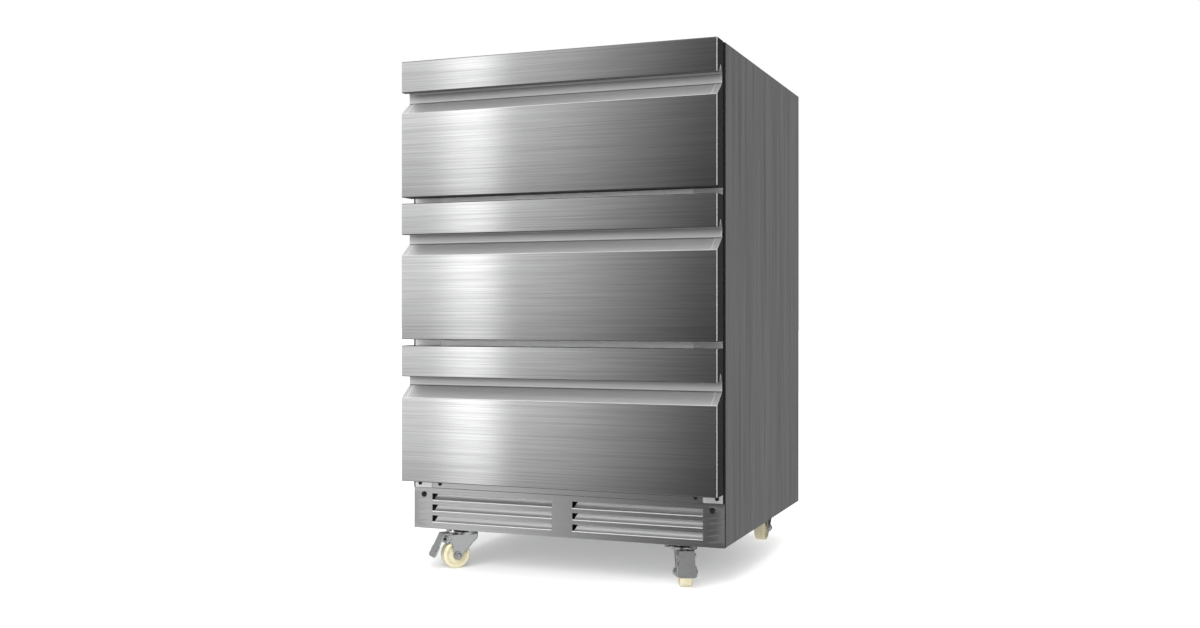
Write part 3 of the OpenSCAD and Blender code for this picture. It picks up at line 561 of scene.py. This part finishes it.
def louvre_panel():
    """Pressed kick panel: a sheet with six slots, each with a fin rolled inwards and a rolled lower lip."""
    lo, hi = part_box("louvre_panel")
    slot_h, slot_pitch, rows = 12 * MM, 19.7 * MM, 3
    top_gap = 22 * MM
    slot_lows = [hi.z - top_gap - row * slot_pitch for row in range(rows)]
    x_in, x_out = 19 * MM, 252.5 * MM
    slot_ends = [sorted((side * x_in, side * x_out)) for side in (-1, 1)]
    xs = [lo.x, -x_out, -x_in, x_in, x_out, hi.x]
    zs = sorted([lo.z, hi.z] + slot_lows + [low + slot_h for low in slot_lows])
    verts = [(x, lo.y, z) for z in zs for x in xs]
    faces = []
    for row in range(len(zs) - 1):
        for column in range(len(xs) - 1):
            if row % 2 == 1 and column in (1, 3):
                continue  # a slot
            a = row * len(xs) + column
            faces.append((a, a + 1, a + 1 + len(xs), a + len(xs)))
    plate = piece("kick_panel_sheet", verts, faces, "cabinet", "steel_frame", smooth=False)
    thick = plate.modifiers.new("thickness", "SOLIDIFY")
    thick.thickness = 1.35 * MM
    thick.offset = -1
    edge = plate.modifiers.new("edges", "BEVEL")
    edge.width = 0.45 * MM
    edge.segments = 2
    edge.angle_limit = math.radians(40)
    plate.data.polygons.foreach_set("use_smooth", [True] * len(plate.data.polygons))
    plate.modifiers.new("normals", "WEIGHTED_NORMAL")

    # Fins: each runs in from the lower lip of its slot, curls up behind it and is cut aslant at its left end
    lean, thickness, steps, cut = 7.6 * MM, 1.1 * MM, 9, 9.0 * MM
    sink, rise, curl = 0.2 * MM, slot_h + 1.4 * MM, 0.8
    verts, faces = [], []
    for x0, x1 in slot_ends:
        for low in slot_lows:
            outer, inner = [], []
            for k in range(steps + 1):
                t = k / steps
                y = lo.y + 0.3 * MM + lean * math.sin(t * math.pi / 2)
                z = low - sink + rise * (1 - math.cos(t * math.pi / 2)) ** curl
                outer.append(Vector((y, z, cut * t)))
                inner.append(Vector((y + thickness * t, z - thickness * (1 - t), cut * t)))
            outline = (outer + inner[::-1])[::-1]
            add(verts, faces, loft([[Vector((x0 + p.z, p.x, p.y)) for p in outline],
                                    [Vector((x1, p.x, p.y)) for p in outline]]))
    fins = piece("kick_panel_fins", verts, faces, "cabinet", "steel_frame", [FIN], angle=50)

    # Rolled lower lip of each slot, in the light edge steel as a painted highlight
    lip_r, lip_sides, lip_in, lip_up = 1.1 * MM, 12, 0.6 * MM, 0.2 * MM
    turns = [2 * math.pi * k / lip_sides for k in range(lip_sides)]
    verts, faces = [], []
    for x0, x1 in slot_ends:
        for low in slot_lows:
            y, z = lo.y + lip_in, low + lip_up
            lip = [Vector((y + lip_r * math.cos(a), z + lip_r * math.sin(a))) for a in turns]
            add(verts, faces, loft(bar_x(lip, x0, x1, 0)))
    lips = piece("kick_panel_lips", verts, faces, "cabinet", "steel_frame", [EDGE_HIGHLIGHT], angle=50)

    # Return flange along the lower edge
    front, top, end_gap = lo.y + 0.2 * MM, lo.z + 1 * MM, 12 * MM
    low_flange = [Vector(p) for p in ((front, lo.z), (hi.y, lo.z), (hi.y, top), (front, top))]
    verts, faces = loft(bar_x(low_flange, lo.x + end_gap, hi.x - end_gap, 0))
    flange = piece("kick_panel_flange", verts, faces, "cabinet", "steel_frame", smooth=False)
    for made in (plate, fins, lips, flange):
        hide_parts("louvre_panel")


louvre_panel()


# ---------------------------------------------------------------- screws

def lathe(profile, centre, axis, count=24):
    """Turns (radius, height) points round an axis through centre."""
    axis = Vector(axis).normalized()
    side = axis.orthogonal().normalized()
    up = axis.cross(side)
    verts, faces = [], []
    for k in range(count):
        a = 2 * math.pi * k / count
        spoke = side * math.cos(a) + up * math.sin(a)
        verts += [Vector(centre) + spoke * r + axis * h for r, h in profile]
    n = len(profile)
    for k in range(count):
        j = (k + 1) % count
        for i in range(n - 1):
            faces.append((k * n + i, j * n + i, j * n + i + 1, k * n + i + 1))
    for end, flip in ((0, True), (n - 1, False)):
        if profile[end][0] > 0:
            cap = [k * n + end for k in range(count)]
            faces.append(tuple(reversed(cap)) if flip else tuple(cap))
    return verts, faces


def pan_heads(name, places, axis, radius, height, slot):
    """Pan head screws on the cabinet with a dished crown; their cross recess is a painted shadow, a black star
    half sunk in the crown.
    """
    heads_v, heads_f, stars_v, stars_f = [], [], [], []
    axis = Vector(axis)
    side = axis.orthogonal().normalized()
    profile = [(radius, -0.4 * MM), (radius, height * 0.45), (radius * 0.86, height * 0.8),
               (radius * 0.55, height), (radius * 0.3, height * 0.97), (0.02 * MM, height * 0.95)]
    reach, wide = radius * 0.55, radius * 0.11
    for number, place in enumerate(places):
        place = Vector(place)
        add(heads_v, heads_f, lathe(profile, place, axis))
        turn = 0.5 + number * 1.1
        for a in (turn, turn + math.pi / 2):
            along = side * math.cos(a) + axis.cross(side) * math.sin(a)
            across = axis.cross(along)
            add(stars_v, stars_f, loft([[place + along * u * reach + across * w * wide + axis * h
                                         for u, w in ((-1, -1), (1, -1), (1, 1), (-1, 1))]
                                        for h in (height * 0.9, height * 1.02)]))
    heads = piece(name, heads_v, heads_f, "cabinet", slot, angle=50)
    # The black stars are painted shadow for the cross recesses.
    piece(name + "_recess_shadows", stars_v, stars_f, "cabinet", "black_trim", smooth=False)
    return heads


FRONTWARD, BACKWARD = (0, -1, 0), (0, 1, 0)
kick_lo, kick_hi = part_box("louvre_panel")
front_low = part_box("drawer_3_front")[0].z
kick_screws = [(x * MM, kick_lo.y, kick_hi.z - 12 * MM) for x in (-269, 269)]
sill_screws = [(x * MM, kick_lo.y, front_low - 8 * MM) for x in (-277, -237, 240, 277)]
for heads in (pan_heads("kick_panel_screws", kick_screws, FRONTWARD, 5 * MM, 2.4 * MM, "black_screw"),
              pan_heads("sill_screws", sill_screws, FRONTWARD, 3.6 * MM, 2 * MM, "black_screw")):
    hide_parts("panel_screws")

rear_lo, rear_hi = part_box("rear_grille")
edge_gap = 8 * MM
grille_screws = [(x, rear_hi.y, z) for z in (rear_lo.z + edge_gap, rear_hi.z - edge_gap)
                 for x in (rear_lo.x + edge_gap, (rear_lo.x + rear_hi.x) / 2, rear_hi.x - edge_gap)]
pan_heads("grille_screws", grille_screws, BACKWARD, 3.4 * MM, 1.8 * MM, "zinc_plated")
back_lo, back_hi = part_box("rear_panel")
rows, end_gap, side_gap = 7, 30 * MM, 7 * MM
row_pitch = (back_hi.z - back_lo.z - 2 * end_gap) / (rows - 1)
back_screws = [(side * (back_hi.x - side_gap), back_hi.y, back_lo.z + end_gap + row * row_pitch)
               for side in (-1, 1) for row in range(rows)]
pan_heads("back_screws", back_screws, BACKWARD, 3.4 * MM, 1.0 * MM, "zinc_plated")


# ---------------------------------------------------------------- casters

def tube(path, radius):
    """A round bead along a path of points, with flat ends."""
    sides = 8
    rings = []
    for i, here in enumerate(path):
        along = (path[min(i + 1, len(path) - 1)] - path[max(i - 1, 0)]).normalized()
        side = (side - along * side.dot(along) if i else along.orthogonal()).normalized()
        up = along.cross(side)
        rings.append([here + (side * math.cos(a) + up * math.sin(a)) * radius
                      for a in (2 * math.pi * k / sides for k in range(sides))])
    return loft(rings)


def joint_place(name):
    """Where a joint sits at rest."""
    joints = frame["record"]["behaviour"]["joints"]
    return next(Vector(joint["pos_m"]) for joint in joints if joint["name"] == name)


def caster_trim(corner, leg_back):
    """Rolled edges on the fork's legs, domed caps on its axle and a dust ring under its race.

    leg_back is how far, in mm, the top of the legs reaches behind the swivel axis.
    """
    hub = joint_place(f"{corner}_swivel")
    hub.z = 0
    behind = joint_place(f"{corner}_roll") - hub
    behind.z = 0
    behind.normalize()
    left = Vector((-behind.y, behind.x, 0))
    body = f"{corner}_caster"

    def place(back, side, height):
        """A point this many mm behind the swivel axis, to the left of it and above the floor."""
        return hub + (behind * back + left * side + Vector((0, 0, height))) * MM

    face, reach = 14.5, 18.5  # mm from the middle to the edge bead and to the axle cap
    trail, axle = 20.0, 25.0  # mm to the axle from the swivel axis and from the floor
    boss = 9.0  # radius of the leg's round end
    leg_front, leg_top, shoulder = -17.4, 60, 53.4
    shin = trail - boss + 0.6  # where the leg's straight front edge meets its round end
    bead = boss - 0.7
    verts, faces = [], []
    for side in (-face, face):
        path = [(leg_front, leg_top), (leg_front, 55.2), (-16.6, shoulder)]
        path += [(shin - (shin + 16.0) * (1 - t), shoulder - 29 * t) for t in (0.25, 0.5, 0.75, 1.0)]
        path += [(trail + bead * math.cos(math.radians(d)), axle + bead * math.sin(math.radians(d)))
                 for d in range(190, 361, 17)]
        path += [(trail + boss + 0.3, 42.4), (leg_back - 1, 48.6)]
        add(verts, faces, tube([place(back, side, height) for back, height in path], 0.75 * MM))
    piece(f"{corner}_leg_edges", verts, faces, body, "zinc_plated")

    cap = [(r * MM, h * MM) for r, h in ((4.6, -0.5), (4.6, 0.8), (3.9, 1.9), (2.4, 2.7), (0.02, 3.0))]
    verts, faces = [], []
    for side in (-1, 1):
        add(verts, faces, lathe(cap, place(trail, side * reach, axle), left * side))
    piece(f"{corner}_axle_caps", verts, faces, body, "zinc_plated")

    ring_mm = ((20.5, 0), (22.6, 0), (22.9, 0.5), (22.6, 1.0), (20.5, 1.0), (20.5, 0))
    ring = [(r * MM, h * MM) for r, h in ring_mm]
    verts, faces = lathe(ring, place(0, 0, 65.5), (0, 0, 1), 48)
    piece(f"{corner}_dust_ring", verts, faces, body, "black_trim")


CORNERS = ("front_left", "front_right", "rear_left", "rear_right")
for corner in CORNERS:
    caster_trim(corner, 36.0 if corner.startswith("front") else 24.0)


# ---------------------------------------------------------------- CAD nodes that stay

SOFT_EDGES_MM = {
    "left_side_panel": 0.45, "right_side_panel": 0.45, "top_panel": 0.5, "rear_panel": 0.3,
    "rear_grille": 0.3, "frame_stiles": 0.5, "frame_rails": 0.5, "sill_rail": 0.5, "breaker_strips": 0.4,
    "base_pan": 0.4, "caster_plates": 0.5, "power_inlet": 0.6, "control_box": 1.5, "evaporator_cover": 0.3,
}
for drawer in DRAWERS:
    SOFT_EDGES_MM[f"drawer_{drawer}_box"] = 0.35
    SOFT_EDGES_MM[f"drawer_{drawer}_core"] = 0.8
for corner in CORNERS:
    SOFT_EDGES_MM[f"{corner}_fork"] = 0.5
    if corner.startswith("front"):
        SOFT_EDGES_MM[f"{corner}_brake_pedal"] = 0.5

slot_of = {part["node"]: part["material_slot"] for part in frame["record"]["subparts"]}
for name, node in frame["nodes"].items():
    node.data.materials.clear()
    node.data.materials.append(NODE_LOOK.get(name, LOOK[slot_of[name]]))
    if name in SOFT_EDGES_MM:
        soften(node, SOFT_EDGES_MM[name])


# ---------------------------------------------------------------- studio

def studio():
    """White floor, a room and two area lights.

    The camera sees a white room. Everything else sees softer walls, with one tall bright window on the left.
    The floor glows, but less under the cabinet, so that the ground is white with a soft shadow.
    """
    floor_look = bpy.data.materials.new("floor")
    floor_look.use_nodes = True
    s = Shader(floor_look.node_tree)
    out = s.node("ShaderNodeOutputMaterial")
    paint = s.node("ShaderNodeBsdfDiffuse")
    glow = s.node("ShaderNodeEmission")
    both = s.node("ShaderNodeAddShader")
    paint.inputs["Color"].default_value = (*grey(0.7), 1)
    shadow_middle, shadow_from, shadow_to, shadow_glow = (-0.07, -0.03, 0), 0.22, 0.62, 0.19
    away = s.node("ShaderNodeVectorMath", operation="DISTANCE")
    s.put(away.inputs[0], s.object_xyz())
    away.inputs[1].default_value = shadow_middle
    outside = s.smooth(away.outputs["Value"], shadow_from, shadow_to)
    s.put(glow.inputs["Strength"], s.mix(outside, shadow_glow, 1.0))
    s.put(both.inputs[0], paint.outputs[0])
    s.put(both.inputs[1], glow.outputs[0])
    s.put(out.inputs["Surface"], both.outputs[0])
    reach = 30.0
    mesh = bpy.data.meshes.new("floor")
    corners = [(-reach, -reach, 0), (reach, -reach, 0), (reach, reach, 0), (-reach, reach, 0)]
    mesh.from_pydata(corners, [], [(0, 1, 2, 3)])
    mesh.materials.append(floor_look)
    floor = bpy.data.objects.new("floor", mesh)
    scene.collection.objects.link(floor)
    floor.visible_glossy = False  # metal sees the light ground of the room instead

    world = bpy.data.worlds.new("room")
    scene.world = world
    world.use_nodes = True
    s = Shader(world.node_tree)
    out = s.node("ShaderNodeOutputWorld")
    path = s.node("ShaderNodeLightPath")
    # Direction of the ray, from -1 to 1: x to the right, y to the back of the cabinet and z up
    x, y, z = s.split(s.node("ShaderNodeTexCoord").outputs["Generated"])
    flat = s.math("SQRT", s.math("MULTIPLY_ADD", x, x, s.math("MULTIPLY", y, y)))
    ahead = s.ramp(s.math("MULTIPLY_ADD", s.math("DIVIDE", x, flat), 0.5, 0.5), AHEAD)
    # The ceiling is lightest on the left, and the wall behind the cabinet is dark in the middle
    overhead = s.mix(s.smooth(x, -0.55, -0.2), 1.0, 0.55)
    behind = s.mix(s.smooth(x, 0.35, 0.95), 0.06, 0.36)
    behind = s.mix(s.smooth(x, -0.2, -0.9), behind, 0.6)
    level = s.mix(s.smooth(y, 0.1, -0.35), behind, ahead)
    level = s.mix(s.smooth(z, 0.55, 0.9), level, overhead)
    # A strip of light high on the front wall, dimmer on the right, and a light ground
    softbox = s.math("MULTIPLY", s.smooth(z, 0.50, 0.56), s.smooth(z, 0.78, 0.72))
    softbox = s.math("MULTIPLY", softbox, s.smooth(y, -0.1, -0.25))
    level = s.mix(softbox, level, s.mix(s.smooth(x, 0.0, 0.4), 0.75, 0.38))
    level = s.mix(s.smooth(z, -0.5, -0.75), level, 0.8)
    walls = s.node("ShaderNodeBackground")
    s.put(walls.inputs["Color"], level)
    white = s.node("ShaderNodeBackground")
    white.inputs["Color"].default_value = (1, 1, 1, 1)
    pick = s.node("ShaderNodeMixShader")
    s.put(pick.inputs[0], path.outputs["Is Camera Ray"])
    s.put(pick.inputs[1], walls.outputs[0])
    s.put(pick.inputs[2], white.outputs[0])
    s.put(out.inputs["Surface"], pick.outputs[0])

    def area(name, place, aim, width, height, power):
        """A soft light that neither the camera nor a glossy reflection sees."""
        light = bpy.data.lights.new(name, "AREA")
        light.shape = "RECTANGLE"
        light.size, light.size_y = width, height
        light.energy = power
        made = bpy.data.objects.new(name, light)
        scene.collection.objects.link(made)
        made.location = place
        made.rotation_euler = (Vector(aim) - Vector(place)).to_track_quat("-Z", "Y").to_euler()
        made.visible_camera = False
        made.visible_glossy = False

    area("overhead", (0, -0.9, 3.2), (0, -0.2, 0), 2.4, 2.4, 55)
    area("front", (0, -3.0, 1.7), (0, 0, 0.1), 3.2, 2.4, 140)


def heading(degrees):
    """Place on the front wall's ramp, that many degrees to the left of straight out from the drawers."""
    return 0.5 - 0.5 * math.sin(math.radians(degrees))


# The front wall's tones: a grey end on the left, the bright window, dusk to its right and white again beyond
AHEAD = [(0.0, 0.70)] + [(heading(degrees), tone) for degrees, tone in (
    (30.5, 0.88), (28.9, 0.86), (28.55, 0.92), (28.2, 1.22), (27.6, 1.42), (26.9, 1.50), (26.4, 1.40),
    (26.0, 1.24), (25.75, 0.88), (25.3, 0.68), (24.5, 0.65), (23.0, 0.56), (21.6, 0.44), (20.2, 0.33),
    (18.9, 0.25), (17.5, 0.165), (16.2, 0.11), (10.0, 0.07), (-12.0, 0.5), (-25.0, 1.1))] + [(1.0, 1.0)]
studio()


# ---------------------------------------------------------------- camera

lens = bpy.data.cameras.new("camera")
lens.lens = 37.92
lens.sensor_width = 36
lens.shift_y = -0.001
camera = bpy.data.objects.new("camera", lens)
scene.collection.objects.link(camera)
camera.location = (0.848, -2.271, 0.460)
camera.rotation_euler = (math.radians(90), 0, math.radians(21.15))
scene.camera = camera
scene.view_settings.view_transform = "Standard"
